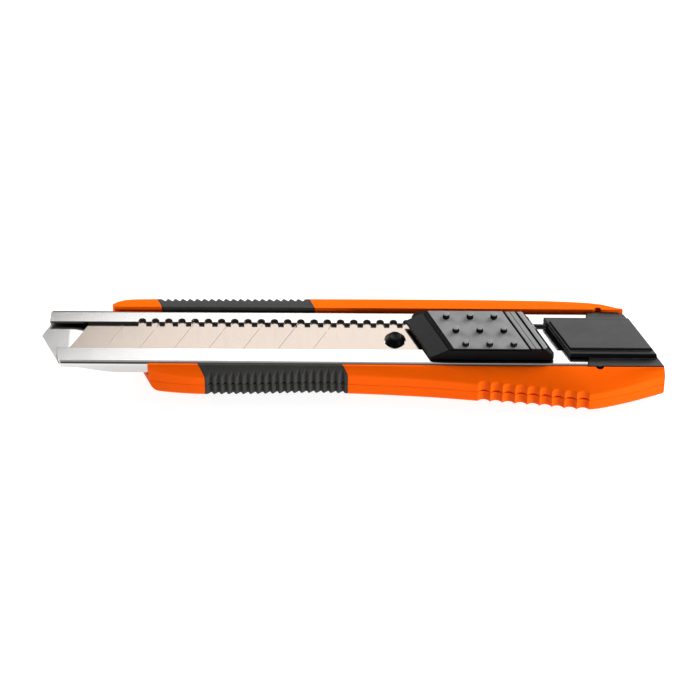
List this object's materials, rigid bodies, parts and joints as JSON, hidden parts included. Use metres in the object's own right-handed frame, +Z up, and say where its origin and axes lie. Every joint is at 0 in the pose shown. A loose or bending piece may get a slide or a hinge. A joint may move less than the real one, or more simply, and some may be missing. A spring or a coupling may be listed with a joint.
{
  "type": "snap-off knife",
  "caption": "Snap-off knife with a steel blade channel, a sliding auto-lock thumb pad, an orange and rubber handle and a removable end cap.",
  "frame": {"origin": "centre of the bounding box's underside, on the surface that the knife lies on", "axes": "+Z up out of the channel's slot, -X towards the blade's tip, +Y towards the notched flange"},
  "size_m": [0.176, 0.0325, 0.0175],
  "materials": {
    "channel": "bright rolled sheet",
    "blade": "fine ground",
    "fastener": "zinc plated",
    "orange": "fine spark-eroded texture",
    "rubber": "matt",
    "black": "satin with a fine grain"
  },
  "bodies": {
    "handle": {"blade_channel": "channel", "channel_rivet_1": "fastener", "channel_rivet_2": "fastener", "handle_frame": "orange", "back_cover": "orange", "frame_grip_near": "rubber", "frame_grip_far": "rubber", "back_grip": "rubber", "cover_screw_1": "fastener", "cover_screw_2": "fastener", "cover_screw_3": "fastener", "cover_screw_4": "fastener"},
    "carriage": {"blade": "blade", "blade_carrier": "channel", "blade_stud": "black", "slider_base": "black", "slider_screw_1": "fastener", "slider_screw_2": "fastener", "pawl_spring": "fastener", "pad_spring": "fastener"},
    "thumb_pad": {"thumb_pad": "black"},
    "lock_pawl": {"lock_pawl": "fastener"},
    "end_cap": {"end_cap": "black"}
  },
  "joints": [
    {"name": "blade_slide", "type": "slide", "parent": "handle", "child": "carriage", "axis": [-1, 0, 0], "range_m": [0, 0.0675]},
    {"name": "thumb_pad_slide", "type": "slide", "parent": "carriage", "child": "thumb_pad", "axis": [-1, 0, 0], "range_m": [0, 0.0012], "stiffness_N_per_m": 1500, "springref_m": -0.0005, "deforming": ["pad_spring"]},
    {"name": "lock_pawl_slide", "type": "slide", "parent": "carriage", "child": "lock_pawl", "axis": [0, -1, 0], "range_m": [0, 0.0015], "deforming": ["pawl_spring"]},
    {"name": "end_cap_slide", "type": "slide", "parent": "handle", "child": "end_cap", "axis": [1, 0, 0], "range_m": [0, 0.036]}
  ],
  "couplings": [
    {"joint": "lock_pawl_slide", "follows": "thumb_pad_slide", "ratio": 1.25}
  ]
}
